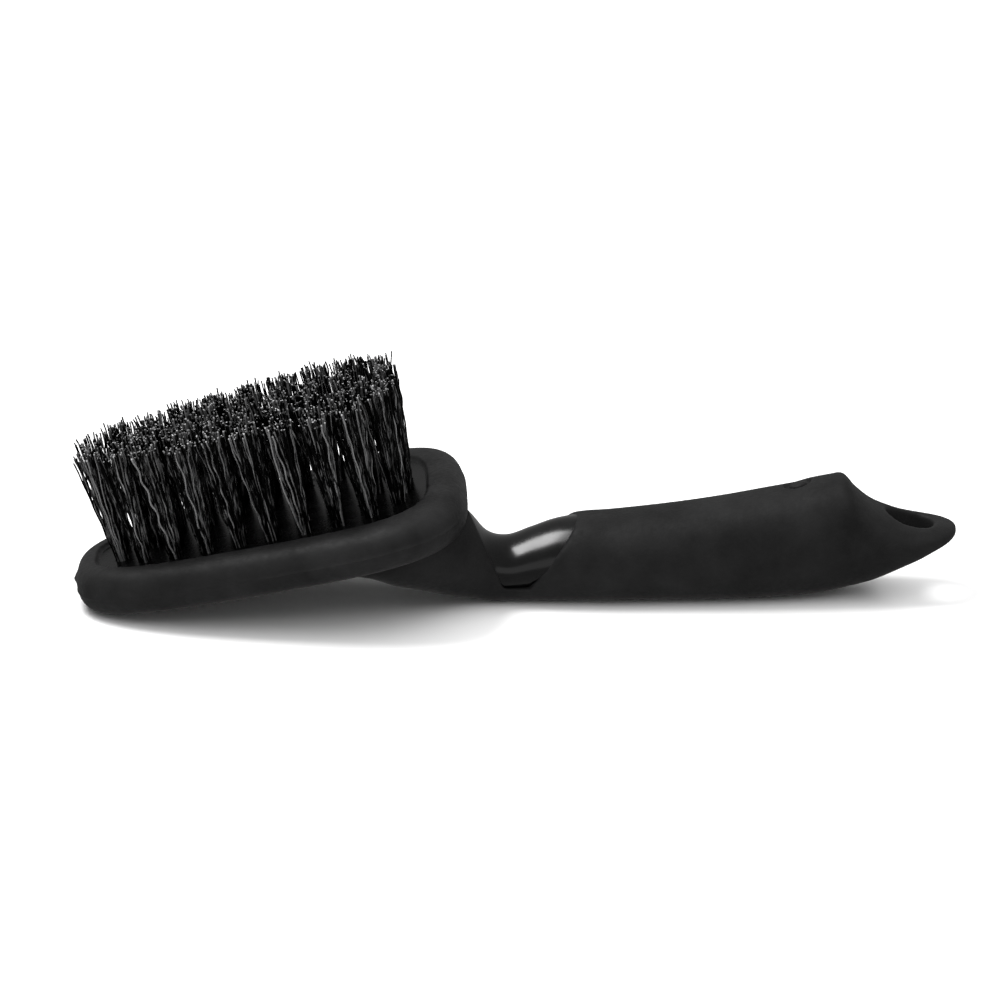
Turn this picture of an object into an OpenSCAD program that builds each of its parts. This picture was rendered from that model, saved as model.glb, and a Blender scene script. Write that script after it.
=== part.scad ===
// Hand brush for cleaning wheels: an egg-shaped head with a thick rubber bumper, crimped
// bristle tufts, and a soft-touch handle with a glossy thumb scoop at the neck.
// It lies on its back: bristles up (+Z), handle along +X. It is mirror-symmetric about y = 0,
// apart from the window's skewed left side and the recess, which is a little off the middle.
// Origin: centre of the footprint, on the surface that the brush lies on. Millimetres.

/* [Head] */
// Length of the head over its bumper
head_len = 120; // [112:1:126]
// Width of the head at its middle, over its bumper
head_w = 74; // [70:1:76]
// How much wider the back of the head is than its middle, as a fraction
head_taper = 0.31; // [0.26:0.01:0.34]
// Squareness of the head outline (2 is an ellipse)
head_square = 3.2; // [2.8:0.1:3.6]
// Angle between the head and the handle's underside
head_tilt = 13.5; // [12.5:0.1:14]

/* [Bumper] */
// Height of the bumper ring
bumper_h = 14; // [13:0.5:15]
// Width of the bumper ring's rounded outer part, at the ends
bumper_round = 6.2; // [5:0.1:6.6]
// How many times wider the bumper ring is at the sides than at the ends
bumper_side = 1.3; // [1:0.05:1.4]
// Distance from the outer edge to the lip round the bristle face, at the front
lip_inset = 7; // [6.8:0.1:7.6]
// Distance from the outer edge to the seat on the core plate, at the front
seat_inset = 8.3; // [8.2:0.1:8.8]
// How much wider the ring is at the back of the head than at the front
lip_back = 2.8; // [0:0.2:3]
// Height of the lip above the bristle face
lip_h = 1.3; // [0.8:0.1:1.8]
// Height of the key that locks the bumper to the core plate
key_h = 4; // [3:0.5:5]

/* [Bristles] */
// Free length of the bristles above the face
bristle_len = 35.5; // [30:0.5:38]
// Diameter of a drilled tuft hole
hole_d = 4.6; // [4:0.1:4.8]
// Depth of a drilled tuft hole
hole_depth = 8; // [7:0.5:9]
// Clearance between a tuft and its hole, on the radius
tuft_gap = 0.1; // [0.05:0.05:0.2]
// Radius of a tuft where it spreads out at its tip
tuft_tip_r = 4.5; // [3.5:0.1:4.6]
// Lean of the tufts at the ends of the head
lean_end = 2; // [0:0.2:4]
// Lean of the tufts at the sides of the head
lean_side = 5; // [2:0.2:6]
// Tufts in the outer ring
outer_tufts = 22; // [19:1:22]
// Tufts in the inner ring
inner_tufts = 16; // [12:1:16]
// Tufts in the middle row
middle_tufts = 5; // [3:1:5]

/* [Handle] */
// Diameter of the hanging hole in the tail
hang_hole_d = 14.5; // [12:0.5:15]
// Radius of the tail's rounded end
tail_r = 14.2; // [13.6:0.1:15]
// Depth of the round recess on top of the grip's palm swell
dimple_depth = 2; // [1.2:0.1:2.2]
// Diameter of that recess
dimple_d = 8.6; // [8:0.2:10]
// Diameter of the raised pad in the middle of the recess
pad_d = 5.4; // [4:0.2:6]

/* [Hidden] */
head_facets = 72;
section_sides = 32;
tuft_count = outer_tufts + inner_tufts + middle_tufts;

// Outer form of the overmould, as stations along the brush. Each one has its distance from the
// head's centre, half width, underside, top and squareness.
OUTER = [
    [6, 22, 16.5, 22, 2.2],
    [18, 28, 13.8, 23, 2.3],
    [28, 29, 11.4, 27, 2.4],
    [35, 28.5, 7.8, 33, 2.4],
    [45, 26, 4.8, 37, 2.4],
    [52, 21, 2.4, 34, 2.4],
    [58, 16, 0.8, 31, 2.4],
    [64, 13.5, -0.3, 25, 2.4],
    [70, 13, -0.3, 23, 2.4],
    [78, 13.6, -0.3, 23, 2.4],
    [92, 15, -0.3, 25.1, 2.4],
    [100, 15.6, -0.3, 25.5, 2.4],
    [112, 16, -0.3, 26.6, 2.4],
    [124, 16.3, -0.3, 28, 2.4],
    [136, 16.5, -0.3, 29.8, 2.4],
    [148, 16.4, 0, 32, 2.4],
    [155, 16.3, 0.4, 33.3, 2.4],
    [161, 16.1, 0.9, 34.9, 2.4],
    [167, 15.8, 1.7, 36.1, 2.4],
    [169.8, 15.6, 2.3, 36.5, 2.4],
    [171.4, 15.5, 2.7, 35.7, 2.4],
    [174, 15.3, 3.4, 32.6, 2.4],
    [179, 15, 5, 28.4, 2.4],
    [185, 14.6, 7.8, 25.5, 2.4],
    [191, 14.2, 10.9, 23.5, 2.4],
    [197, 14.2, 14.2, 22.4, 2.4],
    [205, 14.2, 17.4, 22, 2.4]
];
// The hard core inside it, which shows at the neck as the thumb scoop
CORE = [
    [2, 14, 15, 22, 2.2],
    [12, 21, 16.5, 23, 2.2],
    [20, 25, 15.4, 24, 2.3],
    [28, 26.5, 13.4, 26, 2.4],
    [35, 26, 10, 29, 2.4],
    [45, 23.6, 7, 32, 2.4],
    [52, 19, 4, 30, 2.4],
    [58, 14.2, 2.2, 25.5, 2.15],
    [63, 12.6, 1.4, 20, 1.95],
    [69, 12.5, 1.2, 18.7, 1.8],
    [76, 13, 1.2, 21.1, 1.75],
    [83, 13.9, 1.2, 23.6, 1.75],
    [90, 14.7, 1.2, 24.7, 1.9],
    [97, 15, 1.2, 24.9, 2.2],
    [104, 14.6, 1.4, 24.6, 2.4],
    [112, 14.2, 2, 24.8, 2.4],
    [124, 14.5, 2, 26.2, 2.4],
    [136, 14.6, 2, 28, 2.4],
    [148, 14.5, 2, 30, 2.4],
    [161, 14.3, 2.8, 32, 2.4],
    [167, 13.9, 3.6, 33, 2.4],
    [170.5, 13.6, 4.6, 32.6, 2.4],
    [174, 13.4, 5.6, 29.8, 2.4],
    [179, 13.1, 7.2, 26.2, 2.4],
    [185, 12.7, 10, 23.5, 2.4],
    [191, 12.4, 13.3, 21.5, 2.4],
    [197, 12.4, 16.2, 20.6, 2.4],
    [205, 12.4, 18.4, 20.2, 2.4]
];
ring_step = 4;
skin = 1.8;
tail_x = 190.4;
// How quickly the tail gets thin round its end
end_thin = 0.4;
liner = 1.8;
// Side view of the window that bares the core at the neck: top left, bottom left, bottom right,
// top right, all from the head's centre. Its left side is hollowed towards the middle of the brush.
window_foot = 6;
window_top = 40;
window = [[55.4, window_top], [69.5, window_foot], [75, window_foot], [102, window_top]];
window_reach = 26;
window_back = 3.6;
window_far_back = 9;

dimple_x = 157;
dimple_y = 3;
dimple_slope = 15;
pad_h = 1.7;
face_h = bumper_h - lip_h;
plate_low = 1;
key_low = 5.5;
key_reach = 2;
overlap = 1;
// Sizes of cutting solids that reach past the brush, or past the back of the head
big = 200;
reach = 160;
tall = 40;
fine_hole = 64;
fine_small = 32;

// The bumper's outer half: a rounded profile of [inset, height] points, bottom to top
round_power = 2.3;
round_steps = 10;
function signed_pow(v, p) = sign(v) * pow(abs(v), p);
outer_round = [
    for (i = [0:round_steps])
        let (a = -90 + 180 * i / round_steps)
        [
            bumper_round * (1 - pow(abs(cos(a)), 2 / round_power)),
            bumper_h / 2 * (1 + signed_pow(sin(a), 2 / round_power))
        ]
];
lip_edge = 0.4;
ring_profile = concat(outer_round, [
    [lip_inset - lip_edge / 4, bumper_h - lip_edge / 4],
    [lip_inset + lip_edge, bumper_h - lip_edge],
    [seat_inset, face_h],
    [seat_inset, key_low + key_h],
    [seat_inset - key_reach, key_low + key_h],
    [seat_inset - key_reach, key_low],
    [seat_inset, key_low],
    [seat_inset, 0]
]);

// Where the head sits: its front edge touches the ground, and the whole brush is centred in x
function tip_depth(p) = (head_len / 2 - p[0]) * sin(head_tilt) - p[1] * cos(head_tilt);
function tip_reach(p) = (head_len / 2 - p[0]) * cos(head_tilt) + p[1] * sin(head_tilt);
head_z = max([for (p = outer_round) tip_depth(p)]);
front_reach = max([for (p = outer_round) tip_reach(p)]);
head_x = -(tail_x + tail_r - front_reach) / 2;

first_tuft = 4;

// Egg outline: a superellipse that is wider at the back. a is the angle, inset the distance inwards.
// Outlines inside the ring's rounded part stand further in at the back.
function egg(a, inset) =
    let (
        c = signed_pow(cos(a), 2 / head_square),
        s = signed_pow(sin(a), 2 / head_square),
        back = inset > bumper_round ? lip_back * max(c, 0) : 0
    )
    [
        (head_len / 2 - inset - back) * c,
        (head_w / 2 - inset * bumper_side) * s * (1 + head_taper * c)
    ];
function egg_outline(inset) = [for (i = [0:head_facets - 1]) egg(360 * i / head_facets, inset)];

// Cubic curve through column c of a station table
function gradient(t, i, c) =
    let (a = max(i - 1, 0), b = min(i + 1, len(t) - 1))
    (t[b][c] - t[a][c]) / (t[b][0] - t[a][0]);
function cubic(t, x, c) =
    let (
        i = max([for (j = [0:len(t) - 2]) if (t[j][0] <= x || j == 0) j]),
        h = t[i + 1][0] - t[i][0],
        s = (x - t[i][0]) / h,
        m0 = gradient(t, i, c) * h,
        m1 = gradient(t, i + 1, c) * h
    )
    (2 * s ^ 3 - 3 * s ^ 2 + 1) * t[i][c] + (s ^ 3 - 2 * s ^ 2 + s) * m0
    + (3 * s ^ 2 - 2 * s ^ 3) * t[i + 1][c] + (s ^ 3 - s ^ 2) * m1;

// Cross-section of a loft at x. Past tail_x the half width follows the tail's round end.
function section(t, x, end_r) =
    let (
        end = x > tail_x ? sqrt(max(1 - ((x - tail_x) / end_r) ^ 2, 0)) : 1,
        w = x > tail_x ? end_r * end : cubic(t, x, 1),
        low = cubic(t, x, 2),
        high = cubic(t, x, 3),
        p = 2 / cubic(t, x, 4),
        half = (high - low) / 2 * pow(end, end_thin)
    )
    [
        for (i = [0:section_sides - 1])
            let (a = 360 * i / section_sides)
            [x, w * signed_pow(cos(a), p), (low + high) / 2 + half * signed_pow(sin(a), p)]
    ];

// Station places along a loft: even steps, then closer and closer round the tail's end
end_steps = 6;
end_angle = 84;
function loft_places(first, end_r) = concat(
    [for (x = [first:ring_step:tail_x - ring_step / 2]) x],
    [for (i = [0:end_steps]) tail_x + end_r * sin(end_angle * i / end_steps)]
);

// Closed skin through rings of equal size. Rings run towards +X, points run from +Y to +Z.
module skin_through(rings) {
    n = len(rings[0]);
    last = len(rings) - 1;
    points = [for (ring = rings, p = ring) p];
    sides = [
        for (r = [0:last - 1], i = [0:n - 1])
            let (a = r * n + i, b = r * n + (i + 1) % n)
            each [[a, b + n, b], [a, a + n, b + n]]
    ];
    first_cap = [for (i = [0:n - 1]) i];
    last_cap = [for (i = [0:n - 1]) last * n + n - 1 - i];
    polyhedron(points, concat(sides, [first_cap, last_cap]), convexity = 8);
}

module loft(t, end_r) {
    skin_through([for (x = loft_places(t[0][0], end_r)) section(t, x, end_r)]);
}

// Moves children from the head's own frame, with z = 0 at the bumper's underside, to the brush
module at_head() {
    translate([head_x, 0, head_z]) rotate([0, -head_tilt, 0]) children();
}

// Moves children to the middle of the hanging hole
module at_tail() {
    translate([head_x + tail_x, 0, 0]) children();
}

// Egg-shaped slab between two heights in the head's frame
module head_slab(inset, low, high) {
    at_head() translate([0, 0, low]) linear_extrude(high - low) polygon(egg_outline(inset));
}

// The bumper's outer form, closed and solid
module head_envelope() {
    at_head() skin_through([for (p = outer_round) [for (e = egg_outline(p[0])) [e[0], e[1], p[1]]]]);
}

// Everything above the bumper's underside, apart from the egg inside the given inset
module round_the_plate(inset) {
    difference() {
        at_head() translate([-big / 2, -big / 2, 0]) cube([reach, big, big]);
        head_slab(inset, -overlap, big);
    }
}

// Tuft places on the face. Tufts stand at equal steps along an egg outline.
fine = 360;
outer_len = 88;
outer_w = 39;
outer_shift = -1;
inner_len = 68;
inner_w = 19;
function ring_point(a, l, w) =
    let (c = signed_pow(cos(a), 2 / head_square), s = signed_pow(sin(a), 2 / head_square))
    [l / 2 * c, w / 2 * s * (1 + head_taper * c)];
function path_sums(path, i = 0, total = 0) =
    i >= len(path) - 1 ? [total]
    : concat([total], path_sums(path, i + 1, total + norm(path[i + 1] - path[i])));
function even_points(l, w, count, phase) =
    let (
        path = [for (i = [0:fine]) ring_point(360 * i / fine, l, w)],
        sums = path_sums(path),
        step = sums[fine] / count
    )
    [
        for (k = [0:count - 1])
            let (d = (k + phase) * step, i = max([for (j = [0:fine - 1]) if (sums[j] <= d) j]))
            path[i] + (path[i + 1] - path[i]) * (d - sums[i]) / (sums[i + 1] - sums[i])
    ];
middle_first = -20;
middle_pitch = 10;
tuft_places = concat(
    [for (p = even_points(outer_len, outer_w, outer_tufts, 0.5)) p + [outer_shift, 0]],
    even_points(inner_len, inner_w, inner_tufts, 0),
    [for (i = [0:middle_tufts - 1]) [middle_first + middle_pitch * i, 0]]
);

// Moves children to tuft place p, with z = 0 on the face and z pointing along the tuft
module at_tuft(p) {
    lean_x = lean_end * p[0] / (outer_len / 2);
    lean_y = lean_side * p[1] / (outer_w / 2);
    at_head() translate([p[0], p[1], face_h]) rotate([-lean_y, lean_x, 0]) children();
}

anchor_t = 0.4;
anchor_h = 1.8;
anchor_low = 0.9;
anchor_len = 4.5;
anchor_gap = 0.1;
root_r = hole_d / 2 - tuft_gap;

// The part of the overmould that is left out at the neck
module window_cut() {
    skin_through([
        for (y = [window_reach, 0, -window_reach])
            [
                for (i = [0:len(window) - 1])
                    let (back = i > 1 ? 0 : y > 0 ? window_far_back : y == 0 ? window_back : 0)
                    [head_x + window[i][0] - back, y, window[i][1]]
            ]
    ]);
}

// Hard core: bristle plate, neck with the thumb scoop, and spine inside the grip
module core() {
    color([0.05, 0.05, 0.055])
    difference() {
        union() {
            head_slab(seat_inset, plate_low, face_h);
            head_slab(seat_inset - key_reach, key_low, key_low + key_h);
            difference() {
                translate([head_x, 0, 0]) loft(CORE, tail_r - skin);
                round_the_plate(seat_inset + overlap);
                at_head() translate([-big / 2, -big / 2, key_low]) cube([reach, big, big]);
            }
        }
        for (p = tuft_places)
            at_tuft(p)
                translate([0, 0, -hole_depth])
                    cylinder(d = hole_d, h = hole_depth + overlap, $fn = fine_small);
        at_tail() cylinder(r = hang_hole_d / 2 + liner, h = big, $fn = fine_hole);
    }
}

// Soft-touch overmould: spoon-shaped skirt under the head, strip under the neck, grip and tail
module grip() {
    color([0.13, 0.13, 0.135])
    difference() {
        translate([head_x, 0, 0]) loft(OUTER, tail_r);
        head_envelope();
        head_slab(bumper_round, overlap, tall);
        window_cut();
        difference() {
            translate([head_x, 0, 0]) loft(CORE, tail_r - skin);
            at_tail() cylinder(r = hang_hole_d / 2 + liner, h = big, $fn = fine_hole);
        }
        at_tail() cylinder(d = hang_hole_d, h = big, $fn = fine_hole);
        translate([head_x + dimple_x, dimple_y, cubic(OUTER, dimple_x, 3) - dimple_depth])
            rotate([0, -dimple_slope, 0])
                difference() {
                    cylinder(d = dimple_d, h = tall / 2, $fn = fine_hole);
                    translate([0, 0, -overlap]) cylinder(d = pad_d, h = overlap + pad_h, $fn = fine_hole);
                }
        translate([-big, -big / 2, -big]) cube([2 * big, big, big]);
    }
}

// Rubber bumper ring round the head
module bumper() {
    n = len(ring_profile);
    rows = head_facets;
    points = [
        for (i = [0:rows - 1], p = ring_profile)
            let (e = egg(360 * i / rows, p[0]))
            [e[0], e[1], p[1]]
    ];
    faces = [
        for (i = [0:rows - 1], j = [0:n - 1])
            let (
                next = (i + 1) % rows,
                a = i * n + j,
                b = i * n + (j + 1) % n,
                c = next * n + j,
                d = next * n + (j + 1) % n
            )
            each [[a, b, d], [a, d, c]]
    ];
    color([0.15, 0.15, 0.155]) at_head() polyhedron(points, faces, convexity = 8);
}

// Flat wire anchors, one across the foot of each tuft hole
module anchors() {
    color("silver")
    for (p = tuft_places)
        at_tuft(p)
            translate([-anchor_len / 2, -anchor_t / 2, anchor_low - hole_depth])
                cube([anchor_len, anchor_t, anchor_h]);
}

// One tuft: filaments folded round the anchor, filling the hole and spreading to the trimmed tip
module tuft(p) {
    slot_t = anchor_t + 2 * anchor_gap;
    slot_h = anchor_h + 2 * anchor_gap;
    profile = [
        [0, -hole_depth],
        [root_r, -hole_depth],
        [root_r, 0],
        [tuft_tip_r, bristle_len],
        [0, bristle_len]
    ];
    color([0.03, 0.03, 0.032])
    at_tuft(p)
    difference() {
        rotate_extrude($fn = fine_small) polygon(profile);
        translate([-hole_d, -slot_t / 2, anchor_low - anchor_gap - hole_depth])
            cube([2 * hole_d, slot_t, slot_h]);
    }
}

core();
grip();
bumper();
anchors();
for (i = [0:tuft_count - 1])
    tuft(tuft_places[i]);
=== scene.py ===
"""Wheel brush lying on its back: crimped tufts, rubber bumper, glossy thumb scoop, soft-touch grip.

Shapes are worked out in millimetres in the CAD frame and made in metres. The head has a frame of
its own, (u, v, h): u runs from its front to its back, v across, h up from the bumper's underside.
"""

import math

import bpy
import numpy as np
from mathutils import Matrix, Vector


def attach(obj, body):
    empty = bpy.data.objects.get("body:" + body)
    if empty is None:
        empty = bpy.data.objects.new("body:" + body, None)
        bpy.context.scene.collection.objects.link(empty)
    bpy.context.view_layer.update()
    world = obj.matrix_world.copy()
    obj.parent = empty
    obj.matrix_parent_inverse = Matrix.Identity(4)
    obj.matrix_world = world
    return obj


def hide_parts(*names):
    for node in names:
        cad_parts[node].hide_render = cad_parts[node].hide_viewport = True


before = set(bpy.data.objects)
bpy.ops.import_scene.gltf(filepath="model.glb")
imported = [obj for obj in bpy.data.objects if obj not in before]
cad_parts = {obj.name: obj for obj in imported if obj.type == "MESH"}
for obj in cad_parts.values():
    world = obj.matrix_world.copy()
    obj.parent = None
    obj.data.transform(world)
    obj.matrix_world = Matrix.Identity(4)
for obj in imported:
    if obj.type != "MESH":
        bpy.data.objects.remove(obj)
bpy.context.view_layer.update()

MM = 0.001
# Points round the solids that follow the head's outline
EGG_SIDES = 240
rng = np.random.default_rng(11)

# ---------------------------------------------------------------- dimensions, as in part.scad
HEAD_LEN, HEAD_W, HEAD_TAPER, HEAD_SQUARE, HEAD_TILT = 120, 74, 0.31, 3.2, 13.5
BUMPER_H, BUMPER_ROUND, BUMPER_SIDE, ROUND_POWER = 14, 6.2, 1.3, 2.3
LIP_INSET, SEAT_INSET, LIP_BACK, LIP_H, KEY_H = 7, 8.3, 2.8, 1.3, 4
KEY_LOW, KEY_REACH, PLATE_LOW = 5.5, 2, 1
FACE_H = BUMPER_H - LIP_H
BRISTLE_LEN, HOLE_D, HOLE_DEPTH = 35.5, 4.6, 8
LEAN_END, LEAN_SIDE = 2, 5
OUTER_RING, INNER_RING, MIDDLE_ROW, OUTER_SHIFT = (88, 39, 22), (68, 19, 16), (-20, 10, 5), -1
HANG_HOLE_D, TAIL_R, TAIL_X, LINER, SKIN, END_THIN = 14.5, 14.2, 190.4, 1.8, 1.8, 0.4
DIMPLE_X, DIMPLE_Y, DIMPLE_D, DIMPLE_DEPTH, DIMPLE_SLOPE, PAD_D, PAD_H = 157, 3, 8.6, 2, 15, 5.4, 1.7
WINDOW_FOOT, WINDOW_TOP, WINDOW_REACH = 6, 40, 26
WINDOW_BACK, WINDOW_FAR_BACK = 3.6, 9
WINDOW = ((55.4, WINDOW_TOP), (69.5, WINDOW_FOOT), (75, WINDOW_FOOT), (102, WINDOW_TOP))

# Stations along the brush: distance from the head's centre, half width, underside, top, squareness
OUTER = np.array([
    [6, 22, 16.5, 22, 2.2],
    [18, 28, 13.8, 23, 2.3],
    [28, 29, 11.4, 27, 2.4],
    [35, 28.5, 7.8, 33, 2.4],
    [45, 26, 4.8, 37, 2.4],
    [52, 21, 2.4, 34, 2.4],
    [58, 16, 0.8, 31, 2.4],
    [64, 13.5, -0.3, 25, 2.4],
    [70, 13, -0.3, 23, 2.4],
    [78, 13.6, -0.3, 23, 2.4],
    [92, 15, -0.3, 25.1, 2.4],
    [100, 15.6, -0.3, 25.5, 2.4],
    [112, 16, -0.3, 26.6, 2.4],
    [124, 16.3, -0.3, 28, 2.4],
    [136, 16.5, -0.3, 29.8, 2.4],
    [148, 16.4, 0, 32, 2.4],
    [155, 16.3, 0.4, 33.3, 2.4],
    [161, 16.1, 0.9, 34.9, 2.4],
    [167, 15.8, 1.7, 36.1, 2.4],
    [169.8, 15.6, 2.3, 36.5, 2.4],
    [171.4, 15.5, 2.7, 35.7, 2.4],
    [174, 15.3, 3.4, 32.6, 2.4],
    [179, 15, 5, 28.4, 2.4],
    [185, 14.6, 7.8, 25.5, 2.4],
    [191, 14.2, 10.9, 23.5, 2.4],
    [197, 14.2, 14.2, 22.4, 2.4],
    [205, 14.2, 17.4, 22, 2.4],
])
CORE = np.array([
    [2, 14, 15, 22, 2.2],
    [12, 21, 16.5, 23, 2.2],
    [20, 25, 15.4, 24, 2.3],
    [28, 26.5, 13.4, 26, 2.4],
    [35, 26, 10, 29, 2.4],
    [45, 23.6, 7, 32, 2.4],
    [52, 19, 4, 30, 2.4],
    [58, 14.2, 2.2, 25.5, 2.15],
    [63, 12.6, 1.4, 20, 1.95],
    [69, 12.5, 1.2, 18.7, 1.8],
    [76, 13, 1.2, 21.1, 1.75],
    [83, 13.9, 1.2, 23.6, 1.75],
    [90, 14.7, 1.2, 24.7, 1.9],
    [97, 15, 1.2, 24.9, 2.2],
    [104, 14.6, 1.4, 24.6, 2.4],
    [112, 14.2, 2, 24.8, 2.4],
    [124, 14.5, 2, 26.2, 2.4],
    [136, 14.6, 2, 28, 2.4],
    [148, 14.5, 2, 30, 2.4],
    [161, 14.3, 2.8, 32, 2.4],
    [167, 13.9, 3.6, 33, 2.4],
    [170.5, 13.6, 4.6, 32.6, 2.4],
    [174, 13.4, 5.6, 29.8, 2.4],
    [179, 13.1, 7.2, 26.2, 2.4],
    [185, 12.7, 10, 23.5, 2.4],
    [191, 12.4, 13.3, 21.5, 2.4],
    [197, 12.4, 16.2, 20.6, 2.4],
    [205, 12.4, 18.4, 20.2, 2.4],
])

TILT = math.radians(HEAD_TILT)


def signed_pow(v, p):
    """A power of the size of v, with v's sign."""
    return np.sign(v) * np.abs(v) ** p


def outer_round(steps):
    """The bumper's outer profile as (inset, height), from its underside to its top."""
    a = np.radians(np.linspace(-90, 90, steps + 1))
    p = 2 / ROUND_POWER
    return np.stack([
        BUMPER_ROUND * (1 - np.abs(np.cos(a)) ** p),
        BUMPER_H / 2 * (1 + signed_pow(np.sin(a), p)),
    ], -1)


coarse = outer_round(10)
tip_u = HEAD_LEN / 2 - coarse[:, 0]
HEAD_Z = (tip_u * math.sin(TILT) - coarse[:, 1] * math.cos(TILT)).max()
front_reach = (tip_u * math.cos(TILT) + coarse[:, 1] * math.sin(TILT)).max()
HEAD_X = -(TAIL_X + TAIL_R - front_reach) / 2


def from_head(points):
    """From the head's own frame to the brush."""
    points = np.asarray(points, float)
    u, v, h = points[..., 0], points[..., 1], points[..., 2]
    x = HEAD_X + u * math.cos(TILT) - h * math.sin(TILT)
    z = HEAD_Z + u * math.sin(TILT) + h * math.cos(TILT)
    return np.stack([x, v, z], -1)


def to_head(points):
    """From the brush to the head's own frame."""
    dx, dz = points[..., 0] - HEAD_X, points[..., 2] - HEAD_Z
    u = dx * math.cos(TILT) + dz * math.sin(TILT)
    h = dz * math.cos(TILT) - dx * math.sin(TILT)
    return np.stack([u, points[..., 1], h], -1)


def egg(angle, inset):
    """A point of the head's outline at an angle in radians, the given distance inwards."""
    p = 2 / HEAD_SQUARE
    c, s = signed_pow(np.cos(angle), p), signed_pow(np.sin(angle), p)
    back = np.where(np.asarray(inset) > BUMPER_ROUND, LIP_BACK * np.maximum(c, 0), 0)
    u = (HEAD_LEN / 2 - inset - back) * c
    v = (HEAD_W / 2 - inset * BUMPER_SIDE) * s * (1 + HEAD_TAPER * c)
    return u, v


def cubic(table, x, column):
    """Cubic curve through one column of a station table."""
    places, values = table[:, 0], table[:, column]
    last = len(table) - 1
    low = np.maximum(np.arange(last + 1) - 1, 0)
    high = np.minimum(np.arange(last + 1) + 1, last)
    slope = (values[high] - values[low]) / (places[high] - places[low])
    i = np.clip(np.searchsorted(places, x, side="right") - 1, 0, last - 1)
    step = places[i + 1] - places[i]
    s = (x - places[i]) / step
    m0, m1 = slope[i] * step, slope[i + 1] * step
    return (
        (2 * s**3 - 3 * s**2 + 1) * values[i] + (s**3 - 2 * s**2 + s) * m0
        + (3 * s**2 - 2 * s**3) * values[i + 1] + (s**3 - s**2) * m1
    )


def section_shape(table, x, end_r):
    """Half width, middle height, half height and squareness of a loft at x."""
    x = np.asarray(x, float)
    past = np.clip((x - TAIL_X) / end_r, 0, 1)
    end = np.sqrt(1 - past**2)
    width = np.where(x > TAIL_X, end_r * end, cubic(table, x, 1))
    low, high = cubic(table, x, 2), cubic(table, x, 3)
    return width, (low + high) / 2, (high - low) / 2 * end**END_THIN, cubic(table, x, 4)


def loft_points(table, end_r, step, sides, end_steps):
    """Rings of a loft, in the brush's frame."""
    places = np.arange(table[0, 0], TAIL_X - step / 2, step)
    ends = TAIL_X + end_r * np.sin(np.radians(np.linspace(0, 88, end_steps)))
    x = np.concatenate([places, ends])
    width, middle, half, square = (q[:, None] for q in section_shape(table, x, end_r))
    a = np.linspace(0, 2 * math.pi, sides, endpoint=False)[None, :]
    y = width * signed_pow(np.cos(a), 2 / square)
    z = middle + half * signed_pow(np.sin(a), 2 / square)
    return np.stack([np.broadcast_to(x[:, None] + HEAD_X, y.shape), y, z], -1)


# ---------------------------------------------------------------- meshes
def quads(rows, cols, round_rows=False):
    """Faces of a grid whose columns close on themselves."""
    i = np.arange(rows if round_rows else rows - 1)[:, None]
    j = np.arange(cols)[None, :]
    right, ahead = (j + 1) % cols, (i + 1) % rows
    return np.stack([
        i * cols + j, i * cols + right, ahead * cols + right, ahead * cols + j
    ], -1).reshape(-1, 4)


def in_scene(name, data):
    """A new object in the scene that shows a mesh, a light or a camera."""
    thing = bpy.data.objects.new(name, data)
    bpy.context.scene.collection.objects.link(thing)
    return thing


def new_object(name, points, faces):
    """A mesh object from points in millimetres."""
    mesh = bpy.data.meshes.new(name)
    mesh.from_pydata((np.asarray(points, float).reshape(-1, 3) * MM).tolist(), [], faces)
    mesh.validate()
    return in_scene(name, mesh)


def skin_object(name, rings, outward=True):
    """A closed solid through rings of points, with flat ends."""
    rings = np.asarray(rings, float)
    rows, cols = rings.shape[:2]
    faces = quads(rows, cols).tolist()
    faces.append(list(range(cols))[::-1])
    faces.append([(rows - 1) * cols + k for k in range(cols)])
    if not outward:
        faces = [f[::-1] for f in faces]
    return new_object(name, rings, faces)


def coordinates(mesh):
    """The mesh's points as an array, in metres."""
    flat = np.empty(len(mesh.vertices) * 3)
    mesh.vertices.foreach_get("co", flat)
    return flat.reshape(-1, 3)


def settle(thing):
    """Applies the object's modifiers to its mesh."""
    graph = bpy.context.evaluated_depsgraph_get()
    mesh = bpy.data.meshes.new_from_object(thing.evaluated_get(graph))
    old = thing.data
    thing.modifiers.clear()
    thing.data = mesh
    bpy.data.meshes.remove(old)
    mesh.name = thing.name


def cut(thing, tool, operation="DIFFERENCE"):
    """Boolean with a tool, which is used up."""
    modifier = thing.modifiers.new("cut", "BOOLEAN")
    modifier.solver = "MANIFOLD"
    modifier.operation = operation
    modifier.object = tool
    settle(thing)
    mesh = tool.data
    bpy.data.objects.remove(tool)
    bpy.data.meshes.remove(mesh)


def block(name, low, high, place=None):
    """A rectangular cutting solid, through two rings of four points."""
    rings = []
    for x in (low[0], high[0]):
        rings.append([
            [x, high[1], low[2]], [x, high[1], high[2]], [x, low[1], high[2]], [x, low[1], low[2]]
        ])
    rings = np.array(rings, float)
    return skin_object(name, place(rings) if place else rings)


def egg_solid(name, profile):
    """A solid of the head's outline through a profile of (inset, height) points."""
    angle = np.linspace(0, 2 * math.pi, EGG_SIDES, endpoint=False)
    rings = []
    for inset, height in profile:
        u, v = egg(angle, inset)
        rings.append(np.stack([u, v, np.full_like(u, height)], -1))
    return skin_object(name, from_head(rings))


def egg_slab(name, inset, low, high):
    """A straight-sided solid of the head's outline."""
    return egg_solid(name, ((inset, low), (inset, high)))


def cylinder_rings(radius, low, high, sides):
    """Two rings round the Z axis."""
    a = np.linspace(0, 2 * math.pi, sides, endpoint=False)
    return np.array([
        np.stack([radius * np.cos(a), radius * np.sin(a), np.full_like(a, h)], -1) for h in (low, high)
    ])


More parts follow.
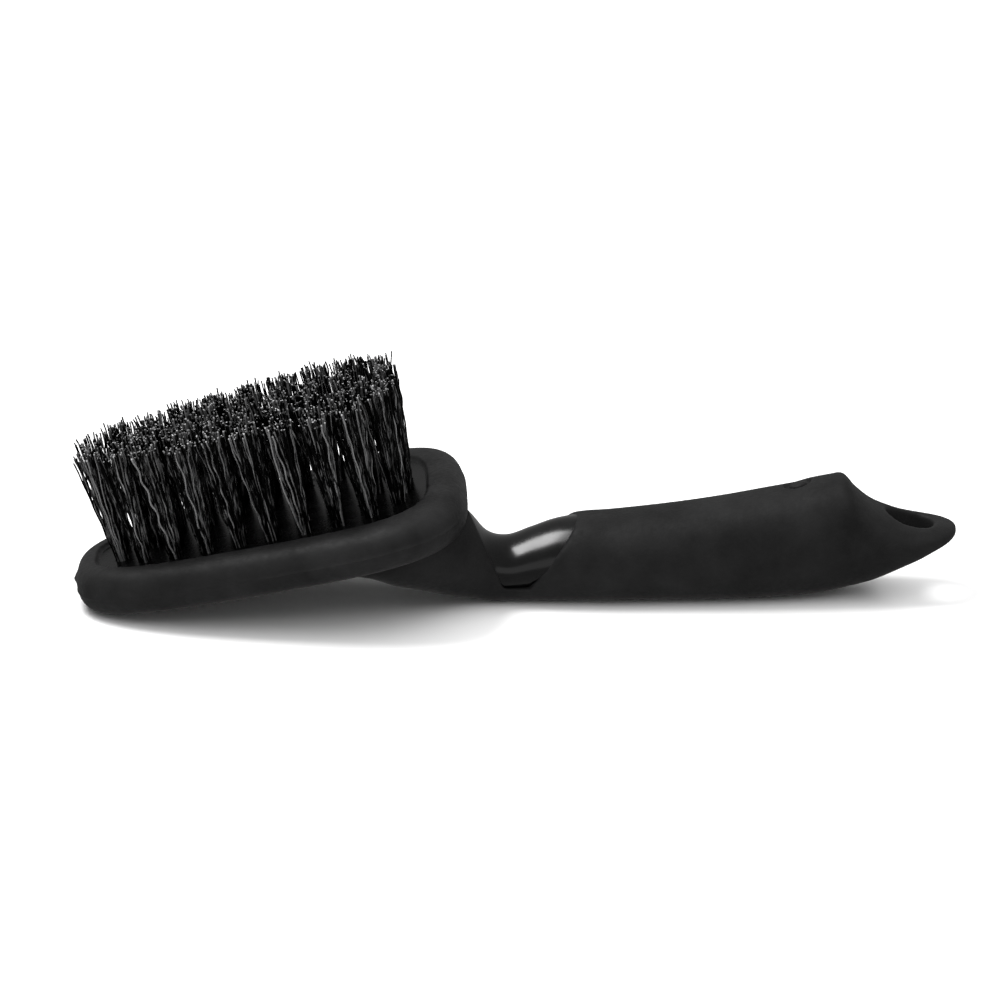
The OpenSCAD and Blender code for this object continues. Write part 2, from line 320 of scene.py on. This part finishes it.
def finish_piece(thing, nodes, materials, sharp=None):
    """Rides on the body, hides the CAD nodes it is shown in place of, and takes its materials."""
    thing.data.materials.clear()
    for m in materials:
        thing.data.materials.append(m)
    thing.data.shade_smooth()
    if sharp:
        thing.data.set_sharp_from_angle(angle=math.radians(sharp))
    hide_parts(*nodes)
    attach(thing, "root")


# ---------------------------------------------------------------- materials
# How far the filaments differ in painted light and shade, at random per filament, against the scuffs
# along each one
OWN_PAINTED_LIGHT = 0.55
RUBBER_SHINE, USUAL_SHINE = 0.14, 0.5


class Nodes:
    """A small helper for one material's node tree."""

    def __init__(self, name):
        self.material = bpy.data.materials.new(name)
        self.material.use_nodes = True
        self.tree = self.material.node_tree
        self.shader = self.tree.nodes["Principled BSDF"]
        self.where = self.add("ShaderNodeTexCoord").outputs["Object"]

    def add(self, kind, **values):
        """A new node with some of its properties set."""
        node = self.tree.nodes.new(kind)
        for key, value in values.items():
            setattr(node, key, value)
        return node

    def link(self, output, target):
        self.tree.links.new(output, target)

    def noise(self, scale, detail=2.0, roughness=0.5, stretch=None):
        """Noise in object space, with its scale per metre."""
        source = self.where
        if stretch:
            mapping = self.add("ShaderNodeMapping")
            mapping.inputs["Scale"].default_value = stretch
            self.link(source, mapping.inputs["Vector"])
            source = mapping.outputs["Vector"]
        node = self.add("ShaderNodeTexNoise")
        node.inputs["Scale"].default_value = scale
        node.inputs["Detail"].default_value = detail
        node.inputs["Roughness"].default_value = roughness
        self.link(source, node.inputs["Vector"])
        return node.outputs["Fac"]

    def spread(self, source, low, high, start=0.3, stop=0.7):
        """Maps the source from start and stop to low and high."""
        node = self.add("ShaderNodeMapRange")
        node.inputs["From Min"].default_value = start
        node.inputs["From Max"].default_value = stop
        node.inputs["To Min"].default_value = low
        node.inputs["To Max"].default_value = high
        self.link(source, node.inputs["Value"])
        return node.outputs["Result"]

    def shades(self, source, dark, light, start=0.3, stop=0.7):
        """A colour ramp from dark to light."""
        ramp = self.add("ShaderNodeValToRGB")
        ramp.color_ramp.elements[0].position = start
        ramp.color_ramp.elements[1].position = stop
        ramp.color_ramp.elements[0].color = (*dark, 1)
        ramp.color_ramp.elements[1].color = (*light, 1)
        self.link(source, ramp.inputs["Fac"])
        return ramp.outputs["Color"]

    def bump(self, source, height, before=None):
        """Bump of a height in metres, on top of the bump before it."""
        node = self.add("ShaderNodeBump")
        node.inputs["Strength"].default_value = 1.0
        node.inputs["Distance"].default_value = height
        self.link(source, node.inputs["Height"])
        if before is not None:
            self.link(before, node.inputs["Normal"])
        return node.outputs["Normal"]

    def to(self, name, value):
        """Gives the shader's input a plain value or a node's output."""
        if isinstance(value, bpy.types.NodeSocket):
            self.link(value, self.shader.inputs[name])
        else:
            self.shader.inputs[name].default_value = value


def grey(value):
    """A grey with a very slight blue in it."""
    return (value, value, value * 1.01)


def rubber(name, dark, light, gloss):
    """Matte moulded rubber: fine grain, faint cloudy wear, slight waviness of the mould."""
    n = Nodes(name)
    clouds = n.noise(55, 4, 0.6)
    grain = n.noise(1900, 2, 0.55)
    pits = n.noise(620, 3, 0.6)
    n.to("Base Color", n.shades(clouds, grey(dark), grey(light)))
    n.to("Roughness", n.spread(pits, gloss - 0.07, gloss + 0.07))
    n.to("Specular IOR Level", RUBBER_SHINE)
    wave = n.bump(clouds, 0.00012)
    n.to("Normal", n.bump(grain, 0.00005, n.bump(pits, 0.00009, wave)))
    return n.material


def plastic(name, dark, light, gloss, shine):
    """Hard moulded plastic with a polished, slightly wavy surface."""
    n = Nodes(name)
    waves = n.noise(38, 2, 0.5)
    smear = n.noise(160, 4, 0.65)
    n.to("Base Color", n.shades(smear, grey(dark), grey(light)))
    n.to("Roughness", n.spread(smear, gloss - 0.03, gloss + 0.05))
    n.to("Specular IOR Level", shine)
    n.to("Normal", n.bump(smear, 0.000012, n.bump(waves, 0.0002)))
    return n.material


def filament(name, dark, light, gloss):
    """Crimped nylon with its own shine per filament, scuffs along it, and painted light and shade per
    filament: the lighter ones stand in for filaments that catch the light.
    """
    n = Nodes(name)
    # Random per filament: painted light and shade, the lighter filaments standing in for those lit by
    # the lamps, the darker ones for those in shade
    own = n.add("ShaderNodeNewGeometry").outputs["Random Per Island"]
    scuffs = n.noise(900, 3, 0.6, (1, 1, 0.22))
    painted_light_and_scuffs = n.add("ShaderNodeMath", operation="MULTIPLY_ADD")
    n.link(own, painted_light_and_scuffs.inputs[0])
    painted_light_and_scuffs.inputs[1].default_value = OWN_PAINTED_LIGHT
    n.link(scuffs, painted_light_and_scuffs.inputs[2])
    n.to("Base Color", n.shades(painted_light_and_scuffs.outputs[0], grey(dark), grey(light), 0.72, 1.12))
    n.to("Roughness", n.spread(scuffs, gloss - 0.08, gloss + 0.12))
    # The plain value is what stays where the link can't be kept
    n.to("Specular IOR Level", USUAL_SHINE)
    n.to("Specular IOR Level", n.spread(own, 0.06, 1.6, 0.35, 0.95))
    n.to("Normal", n.bump(scuffs, 0.00003))
    return n.material


def steel(name):
    """Flat wire: drawn along its length, dull."""
    n = Nodes(name)
    drawn = n.noise(1400, 3, 0.6, (0.15, 1, 1))
    n.to("Base Color", n.shades(drawn, (0.42, 0.42, 0.43), (0.6, 0.6, 0.61)))
    n.to("Metallic", 1.0)
    n.to("Roughness", n.spread(drawn, 0.28, 0.5))
    n.to("Normal", n.bump(drawn, 0.00002))
    return n.material


grip_rubber = rubber("grip_rubber_matte", 0.0055, 0.013, 0.62)
bumper_rubber = rubber("bumper_rubber_matte", 0.0045, 0.015, 0.56)
core_plastic = plastic("core_plastic_gloss", 0.001, 0.002, 0.2, 0.34)
# The face plate's copy of the core plastic: a satin finish, made darker to paint the shade among the
# tufts
plate_plastic_painted_shade = plastic("core_plate_satin_painted_shade", 0.0008, 0.0016, 0.26, 0.08)
bristle = filament("bristle_black", 0.0008, 0.14, 0.28)
bristle_tip = filament("bristle_cut_tip", 0.03, 0.5, 0.45)
anchor_wire = steel("anchor_wire_steel")

# ---------------------------------------------------------------- bumper
RING_ROWS, ROUND_STEPS = 360, 54
# The parting line's height and width, and the gate nub's place, width round and up, and height
PARTING_H, PARTING_W = 0.22, 0.34
NUB_ANGLE, NUB_UP = math.radians(181), 2.4
NUB_TURN, NUB_W, NUB_H = 0.035, 0.9, 0.85
# Unevenness of the lip's edge, inwards and upwards
LIP_ROUGH_IN, LIP_ROUGH_UP = 0.09, 0.05


def bell(distance, width):
    """A bell curve, 1 at no distance."""
    return np.exp(-((distance / width) ** 2))


def bumper_piece():
    """Rubber ring: rounded outside with its mould's parting line, and a lip round the face."""
    outer = outer_round(ROUND_STEPS)
    lip = np.array([
        [LIP_INSET - 0.35, BUMPER_H + 0.02],
        [LIP_INSET - 0.05, BUMPER_H - 0.02],
        [LIP_INSET + 0.2, BUMPER_H - 0.16],
        [LIP_INSET + 0.36, BUMPER_H - 0.38],
        [LIP_INSET + 0.5, BUMPER_H - 0.62],
        [SEAT_INSET - 0.35, FACE_H + 0.12],
        [SEAT_INSET, FACE_H - 0.02],
    ])
    inner = np.array([
        [SEAT_INSET, KEY_LOW + KEY_H],
        [SEAT_INSET - KEY_REACH, KEY_LOW + KEY_H],
        [SEAT_INSET - KEY_REACH, KEY_LOW],
        [SEAT_INSET, KEY_LOW],
        [SEAT_INSET, 0],
        [SEAT_INSET - 0.8, 0],
    ])
    profile = np.concatenate([outer, lip, inner])
    first = len(outer)
    angle = np.linspace(0, 2 * math.pi, RING_ROWS, endpoint=False)
    inset = np.broadcast_to(profile[None, :, 0], (RING_ROWS, len(profile))).copy()
    height = np.broadcast_to(profile[None, :, 1], inset.shape).copy()
    above = height - BUMPER_H / 2
    parting = bell(above, PARTING_W)
    parting[:, first:] = 0
    inset -= PARTING_H * parting
    round_from_nub = np.abs((angle - NUB_ANGLE + math.pi) % (2 * math.pi) - math.pi)
    nub = bell(round_from_nub, NUB_TURN)[:, None] * bell(above - NUB_UP, NUB_W)
    nub[:, first:] = 0
    inset -= NUB_H * nub
    rough = rng.normal(0, 1, RING_ROWS)
    rough = (rough + np.roll(rough, 1) + np.roll(rough, -1)) / 3
    lip_edge = slice(first + 1, first + 4)
    inset[:, lip_edge] += LIP_ROUGH_IN * rough[:, None]
    height[:, lip_edge] += LIP_ROUGH_UP * np.roll(rough, 7)[:, None]
    u, v = egg(angle[:, None], inset)
    points = from_head(np.stack([u, v, height], -1))
    faces = quads(RING_ROWS, len(profile), True)[:, ::-1].tolist()
    ring = new_object("bumper_ring", points, faces)
    finish_piece(ring, ["bumper"], [bumper_rubber], 50)


bumper_piece()


# ---------------------------------------------------------------- tufts
def ring_places(length, width, count, phase):
    """Equal steps along an egg outline."""
    a = np.radians(np.arange(361))
    p = 2 / HEAD_SQUARE
    c, s = signed_pow(np.cos(a), p), signed_pow(np.sin(a), p)
    path = np.stack([length / 2 * c, width / 2 * s * (1 + HEAD_TAPER * c)], -1)
    sums = np.concatenate([[0], np.cumsum(np.linalg.norm(np.diff(path, axis=0), axis=1))])
    along = (np.arange(count) + phase) * sums[-1] / count
    return np.stack([np.interp(along, sums, path[:, 0]), np.interp(along, sums, path[:, 1])], -1)


first, pitch, count = MIDDLE_ROW
PLACES = np.concatenate([
    ring_places(*OUTER_RING, 0.5) + [OUTER_SHIFT, 0],
    ring_places(*INNER_RING, 0),
    np.array([[first + pitch * i, 0] for i in range(count)]),
])


def from_tuft(place, points):
    """From a tuft's own frame (z along it, 0 on the face) to the brush."""
    lean_x = math.radians(LEAN_END * place[0] / (OUTER_RING[0] / 2))
    lean_y = math.radians(LEAN_SIDE * place[1] / (OUTER_RING[1] / 2))
    turn = Matrix.Rotation(lean_x, 3, "Y") @ Matrix.Rotation(-lean_y, 3, "X")
    turned = np.asarray(points) @ np.array(turn).T
    return from_head(turned + [place[0], place[1], FACE_H])


FILAMENTS, SEGMENTS, SIDES = 50, 34, 5
FILAMENT_R = 0.25
# Filaments start this deep in the hole, inside this radius, and spread to this one at the tips
ROOT, ROOT_R, SPREAD = -1.4, 1.9, 5.1
# The last stretch of a filament, which has the colour of its cut
CUT_END = 0.3
# How much the tips turn about the tuft, and how far out they reach, as a share of the spread
TIP_TURN, TIP_REACH = 0.12, (0.9, 1.06)
# How far a usual and a stray filament's tip drifts, and the share of strays
DRIFT, STRAY_DRIFT, STRAYS = 0.35, 1.7, 0.05
# A tuft's usual trim and its spread, then one filament's spread and its limits
TRIM, TRIM_SPREAD, LENGTH_SPREAD, LENGTH_LIMITS = -0.3, 0.4, 0.7, (-3, 1.4)
# Spread of the bow, then the crimp: range of its wave and swing, and its second, smaller wave
BOW = 0.4
WAVE, SWING = (7.5, 12.0), (0.12, 0.36)
SECOND_SWING, SECOND_WAVE = 0.4, 1.37
# Range of the thickness, as a share
THICKNESS = (0.88, 1.1)
# The crimp grows over this length, so that the feet stay in their hole
CRIMP_START = 5
GOLDEN_ANGLE = 2.39996


def polar(radius, turn):
    """Points at a radius and an angle."""
    return radius[:, None] * np.stack([np.cos(turn), np.sin(turn)], -1)


def filament_paths():
    """Centre lines of one tuft's filaments, from the hole to an uneven trim."""
    share = np.sqrt((np.arange(FILAMENTS) + 0.5) / FILAMENTS)
    turn = np.arange(FILAMENTS) * GOLDEN_ANGLE + rng.uniform(0, 2 * math.pi)
    base = polar(ROOT_R * share, turn)
    tip_turn = turn + rng.normal(0, TIP_TURN, FILAMENTS)
    tip = polar(SPREAD * share * rng.uniform(*TIP_REACH, FILAMENTS), tip_turn)
    loose = np.where(rng.random(FILAMENTS) < STRAYS, STRAY_DRIFT, DRIFT)
    drift = rng.normal(0, 1, (FILAMENTS, 2)) * loose[:, None]
    trim = rng.normal(TRIM, TRIM_SPREAD)
    length = BRISTLE_LEN + np.clip(rng.normal(trim, LENGTH_SPREAD, FILAMENTS), *LENGTH_LIMITS)

    s = np.linspace(0, 1, SEGMENTS)[None, :]
    z = ROOT + s * (length[:, None] - CUT_END - ROOT)
    z = np.concatenate([z, length[:, None]], 1)
    rise = np.clip(z / BRISTLE_LEN, 0, 1)
    across = base[:, None, :] + (tip - base)[:, None, :] * rise[..., None]
    across = across + drift[:, None, :] * (rise**2)[..., None]
    bow = rng.normal(0, BOW, (FILAMENTS, 2))
    across = across + bow[:, None, :] * np.sin(math.pi * rise)[..., None]
    wave = rng.uniform(*WAVE, FILAMENTS)[:, None]
    phase = rng.uniform(0, 2 * math.pi, FILAMENTS)[:, None]
    way = rng.uniform(0, math.pi, FILAMENTS)
    size = rng.uniform(*SWING, FILAMENTS)[:, None] * np.clip(z / CRIMP_START, 0, 1)
    swing = size * np.sin(2 * math.pi * z / wave + phase)
    twist = SECOND_SWING * size * np.sin(2 * math.pi * z / (wave * SECOND_WAVE) + 2 * phase)
    across[..., 0] += swing * np.cos(way)[:, None] - twist * np.sin(way)[:, None]
    across[..., 1] += swing * np.sin(way)[:, None] + twist * np.cos(way)[:, None]
    return np.concatenate([across, z[..., None]], -1)


def filament_rings(path):
    """Rings of points round each centre line, square to it."""
    along = np.gradient(path, axis=1)
    along /= np.linalg.norm(along, axis=-1, keepdims=True)
    e1 = np.array([1.0, 0, 0]) - along * along[..., :1]
    e1 /= np.linalg.norm(e1, axis=-1, keepdims=True)
    e2 = np.cross(along, e1)
    a = 2 * math.pi * np.arange(SIDES) / SIDES
    radius = FILAMENT_R * rng.uniform(*THICKNESS, FILAMENTS)[:, None, None, None]
    return path[:, :, None, :] + radius * (
        np.cos(a)[:, None] * e1[:, :, None, :] + np.sin(a)[:, None] * e2[:, :, None, :]
    )


def tuft_piece(number, place):
    """One tuft of crimped filaments, with the cut ends in a lighter material."""
    rings = filament_rings(filament_paths())
    points = np.concatenate([rings.reshape(-1, 3), rings[:, -1].reshape(-1, 3)])

    order = np.arange(FILAMENTS)
    per = (SEGMENTS + 1) * SIDES
    one = quads(SEGMENTS + 1, SIDES)
    sides = (one[None] + per * order[:, None, None]).reshape(-1, 4)
    caps = FILAMENTS * per + order[:, None] * SIDES + np.arange(SIDES)[None, :]
    faces = sides.tolist() + caps.tolist()
    piece = new_object(f"tuft_{number:02d}_filaments", from_tuft(place, points), faces)

    where = np.zeros(len(faces), int)
    ring_of = np.tile(np.repeat(np.arange(SEGMENTS), SIDES), FILAMENTS)
    where[:len(sides)][ring_of == SEGMENTS - 1] = 1
    where[len(sides):] = 1
    finish_piece(piece, [f"tuft_{number:02d}"], [bristle, bristle_tip])
    piece.data.polygons.foreach_set("material_index", where)


for i, place in enumerate(PLACES):
    tuft_piece(i + 1, place)


# ---------------------------------------------------------------- core moulding
HOLE_SIDES = 32


def drills():
    """One cutting solid for every tuft's hole."""
    points, faces = [], []
    for number, place in enumerate(PLACES):
        rings = cylinder_rings(HOLE_D / 2, -HOLE_DEPTH, 1, HOLE_SIDES)
        rings = rings[:, ::-1]
        points.append(from_tuft(place, rings).reshape(-1, 3))
        ends = [list(range(HOLE_SIDES))[::-1], list(range(HOLE_SIDES, 2 * HOLE_SIDES))]
        own = quads(2, HOLE_SIDES).tolist() + ends
        faces += [[k + 2 * HOLE_SIDES * number for k in f][::-1] for f in own]
    return new_object("tool_drills", np.concatenate(points), faces)


def core_piece():
    """Bristle plate with its drilled holes, and the neck that shows as the glossy scoop."""
    neck = skin_object("core_moulding", loft_points(CORE, TAIL_R - SKIN, 1.0, 144, 20))
    top = 200
    shell = block("tool_round", (-100, -100, 0), (60, 100, top), from_head)
    cut(shell, egg_slab("tool_egg", SEAT_INSET + 1, -1, top))
    cut(neck, shell)
    cut(neck, block("tool_above", (-100, -100, KEY_LOW), (60, 100, top), from_head))
    cut(neck, egg_slab("tool_plate", SEAT_INSET, PLATE_LOW, FACE_H), "UNION")
    cut(neck, egg_slab("tool_key", SEAT_INSET - KEY_REACH, KEY_LOW, KEY_LOW + KEY_H), "UNION")
    cut(neck, drills())
    eye = cylinder_rings(HANG_HOLE_D / 2 + LINER, -5, 60, 96)[:, ::-1] + [HEAD_X + TAIL_X, 0, 0]
    cut(neck, skin_object("tool_eye", eye, False))
    finish_piece(neck, ["core"], [core_plastic, plate_plastic_painted_shade], 35)
    # The face plate takes the darker copy, which paints the shade among the tufts
    for face in neck.data.polygons:
        u, _, h = to_head(np.array(face.center) / MM)
        face.material_index = int(h > PLATE_LOW and u < HEAD_LEN / 2)


core_piece()

# ---------------------------------------------------------------- grip overmould
VOXEL = 0.56
# Gap from an edge over which points go back onto the loft, and how far off it they may lie
BACK_ON, OFF_LOFT = (0.5, 1.3), (0.35, 0.6)
# Gap from an edge, and from the rim of the hanging hole, over which it is softened
SOFT_EDGE, SOFT_RIM = (0.6, 1.6), (1.0, 2.4)
# The recess is looked for above this height and within this radius
DIMPLE_ABOVE, DIMPLE_REACH = 25, 8
DIMPLE_TURN = np.array(Matrix.Rotation(-math.radians(DIMPLE_SLOPE), 3, "Y"))
DIMPLE_FOOT = np.array([
    HEAD_X + DIMPLE_X, DIMPLE_Y, cubic(OUTER, np.array([DIMPLE_X]), 3)[0] - DIMPLE_DEPTH
])


def step_between(value, low, high):
    """A smooth step from 0 at low to 1 at high."""
    t = np.clip((value - low) / (high - low), 0, 1)
    return t * t * (3 - 2 * t)


def relax(points, edges, weight, rounds):
    """Moves each point towards its neighbours' mean, by its own weight."""
    a, b = edges[:, 0], edges[:, 1]
    n = len(points)
    count = np.bincount(a, minlength=n) + np.bincount(b, minlength=n)
    for _ in range(rounds):
        mean = np.stack([
            (np.bincount(a, points[b, k], n) + np.bincount(b, points[a, k], n)) / count
            for k in range(3)
        ], -1)
        points = points + weight[:, None] * (mean - points)
    return points


def beside_line(points, start, end):
    """Distance from a line in side view, positive to the right of start to end."""
    x, z = points[:, 0] - HEAD_X - start[0], points[:, 2] - start[1]
    dx, dz = end[0] - start[0], end[1] - start[1]
    return (x * dz - z * dx) / math.hypot(dx, dz)


def recess_tool(name, diameter, low, high):
    """A round cutting solid, square to the slope at the recess."""
    rings = cylinder_rings(diameter / 2, low, high, 96)[:, ::-1]
    return skin_object(name, rings @ DIMPLE_TURN.T + DIMPLE_FOOT, False)


def window_tool():
    """The opening at the neck, whose left side is skewed towards the head."""
    rings = []
    for y, back in ((WINDOW_REACH, WINDOW_FAR_BACK), (0, WINDOW_BACK), (-WINDOW_REACH, 0)):
        left = [[HEAD_X + x - back, y, z] for x, z in WINDOW[:2]]
        rings.append(left + [[HEAD_X + x, y, z] for x, z in WINDOW[2:]])
    return skin_object("tool_window", np.array(rings))


def grip_solid():
    """The overmould as cut from its loft, remeshed to an even grid."""
    grip = skin_object("grip_overmould", loft_points(OUTER, TAIL_R, 1.0, 128, 20))
    cut(grip, egg_solid("tool_head", outer_round(24)))
    cut(grip, egg_slab("tool_slab", BUMPER_ROUND, 1, 40))
    cut(grip, window_tool())
    hole = cylinder_rings(HANG_HOLE_D / 2, -5, 60, 128)[:, ::-1] + [HEAD_X + TAIL_X, 0, 0]
    cut(grip, skin_object("tool_hole", hole, False))
    dimple = recess_tool("tool_dimple", DIMPLE_D, 0, 20)
    cut(dimple, recess_tool("tool_pad", PAD_D, -1, PAD_H))
    cut(grip, dimple)
    cut(grip, block("tool_floor", (-200, -100, -100), (200, 100, 0)))
    remesh = grip.modifiers.new("remesh", "REMESH")
    remesh.mode = "VOXEL"
    remesh.voxel_size = VOXEL * MM
    settle(grip)
    return grip


def window_distance(points):
    """Distance from the window's sides and foot, in side view."""
    hollow = np.interp(points[:, 1], [-WINDOW_REACH, 0, WINDOW_REACH], [0, WINDOW_BACK, WINDOW_FAR_BACK])
    left = beside_line(points + [[1, 0, 0]] * hollow[:, None], WINDOW[0], WINDOW[1])
    right = beside_line(points, WINDOW[2], WINDOW[3])
    foot = points[:, 2] - WINDOW_FOOT
    return np.abs(np.minimum(np.minimum(-left, -right), foot))


def edge_distance(points, rim_distance):
    """Distance from the nearest cut edge, and 0 all through the recess."""
    local = (points - DIMPLE_FOOT) @ DIMPLE_TURN
    radius = np.hypot(local[:, 0], local[:, 1])
    above = points[:, 2] > DIMPLE_ABOVE
    dimple = np.where(above & (radius < DIMPLE_REACH), np.abs(radius - DIMPLE_D / 2), 9)
    gap = np.minimum.reduce([window_distance(points), dimple, rim_distance, points[:, 2] + 0.1])
    return np.where((radius < DIMPLE_D / 2) & above, 0, gap)


def onto_loft(points, gap):
    """Moves points that lie off every edge onto the loft's true surface."""
    width, middle, half, square = section_shape(OUTER, points[:, 0] - HEAD_X, TAIL_R)
    y, z = np.abs(points[:, 1]) / np.maximum(width, 0.5), np.abs(points[:, 2] - middle) / half
    reach = np.maximum((y**square + z**square) ** (1 / square), 0.05)
    across = np.hypot(points[:, 1], points[:, 2] - middle)
    off = across * np.abs(1 - 1 / reach)
    inside_end = points[:, 0] - HEAD_X < TAIL_X + 0.8 * TAIL_R
    share = step_between(gap, *BACK_ON) * (1 - step_between(off, *OFF_LOFT)) * inside_end
    target = points.copy()
    target[:, 1] = points[:, 1] / reach
    target[:, 2] = middle + (points[:, 2] - middle) / reach
    return points + share[:, None] * (target - points)


def grip_piece():
    """Soft-touch overmould: skirt under the head, strip under the neck, handle and tail."""
    grip = grip_solid()
    mesh = grip.data
    points = coordinates(mesh) / MM
    edges = np.empty(len(mesh.edges) * 2, int)
    mesh.edges.foreach_get("vertices", edges)
    edges = edges.reshape(-1, 2)
    points = relax(points, edges, np.full(len(points), 0.5), 2)

    from_eye = np.hypot(points[:, 0] - HEAD_X - TAIL_X, points[:, 1])
    rim_distance = np.abs(from_eye - HANG_HOLE_D / 2)
    gap = edge_distance(points, rim_distance)
    points = onto_loft(points, gap)
    points = relax(points, edges, 0.5 * (1 - step_between(gap, *SOFT_EDGE)), 3)
    points = relax(points, edges, 0.5 * (1 - step_between(rim_distance, *SOFT_RIM)), 14)
    points[:, 2] = np.maximum(points[:, 2], 0)
    mesh.vertices.foreach_set("co", (points * MM).ravel())
    mesh.update()
    finish_piece(grip, ["grip"], [grip_rubber])


grip_piece()

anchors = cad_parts["anchors"]
anchors.data.materials.clear()
anchors.data.materials.append(anchor_wire)

# ---------------------------------------------------------------- studio
# Half the side of the paper, and how far it lies below the brush
FLOOR_HALF, FLOOR_GAP = 3000, 0.2
WORLD_LIGHT = 0.35
SUN_POWER, SUN_WIDTH = 3, math.radians(105)


def floor_piece():
    """Plain pale paper, which the brush doesn't mirror."""
    corners = ((-1, -1), (1, -1), (1, 1), (-1, 1))
    points = [[x * FLOOR_HALF, y * FLOOR_HALF, -FLOOR_GAP] for x, y in corners]
    floor = new_object("floor", points, [[0, 1, 2, 3]])
    paper = Nodes("floor_paper")
    paper.to("Base Color", paper.shades(paper.noise(30, 3), (0.84, 0.84, 0.84), (0.86, 0.86, 0.86)))
    paper.to("Roughness", 0.9)
    paper.to("Specular IOR Level", 0.0)
    floor.data.materials.append(paper.material)
    floor.visible_glossy = False


def softbox(name, place, aim, width, height, watts):
    """A rectangular light that points at a place."""
    light = bpy.data.lights.new(name, "AREA")
    light.shape = "RECTANGLE"
    light.size, light.size_y = width, height
    light.energy = watts
    lamp = in_scene(name, light)
    lamp.location = place
    lamp.rotation_euler = (Vector(aim) - Vector(place)).to_track_quat("-Z", "Y").to_euler()


def even_light():
    """A wide even light for the paper, which gives no reflections of its own."""
    sun = bpy.data.lights.new("even_light", "SUN")
    sun.energy = SUN_POWER
    sun.angle = SUN_WIDTH
    even = in_scene("even_light", sun)
    even.visible_glossy = False
    even.rotation_euler = (math.radians(2), math.radians(12), 0)


floor_piece()
world = bpy.data.worlds.new("studio")
world.use_nodes = True
world.node_tree.nodes["Background"].inputs["Color"].default_value = (1, 1, 1, 1)
world.node_tree.nodes["Background"].inputs["Strength"].default_value = WORLD_LIGHT
bpy.context.scene.world = world
softbox("key_softbox", (-0.45, 0.15, 1.0), (0, 0, 0.02), 0.5, 0.34, 9.5)
softbox("front_fill", (-0.2, -1.5, 0.8), (0, 0, 0.03), 1.6, 0.9, 3)
even_light()
bpy.context.scene.view_settings.view_transform = "Standard"

# ---------------------------------------------------------------- camera
CAMERA_AZ, CAMERA_EL, CAMERA_DISTANCE = math.radians(-2.27), math.radians(18.39), 1.1523
CAMERA_AIM, CAMERA_LENS, CAMERA_SENSOR = (-0.0053, 0, 0.0302), 138.3, 36


def camera_piece():
    """A level camera that looks at its aim from an azimuth and an elevation."""
    back = Vector((
        math.sin(CAMERA_AZ) * math.cos(CAMERA_EL),
        -math.cos(CAMERA_AZ) * math.cos(CAMERA_EL),
        math.sin(CAMERA_EL),
    ))
    right = Vector((math.cos(CAMERA_AZ), math.sin(CAMERA_AZ), 0))
    turn = Matrix((right, back.cross(right), back)).transposed().to_4x4()
    lens = bpy.data.cameras.new("camera")
    lens.sensor_width = CAMERA_SENSOR
    lens.lens = CAMERA_LENS
    camera = in_scene("camera", lens)
    camera.matrix_world = Matrix.Translation(Vector(CAMERA_AIM) + back * CAMERA_DISTANCE) @ turn
    bpy.context.scene.camera = camera


camera_piece()
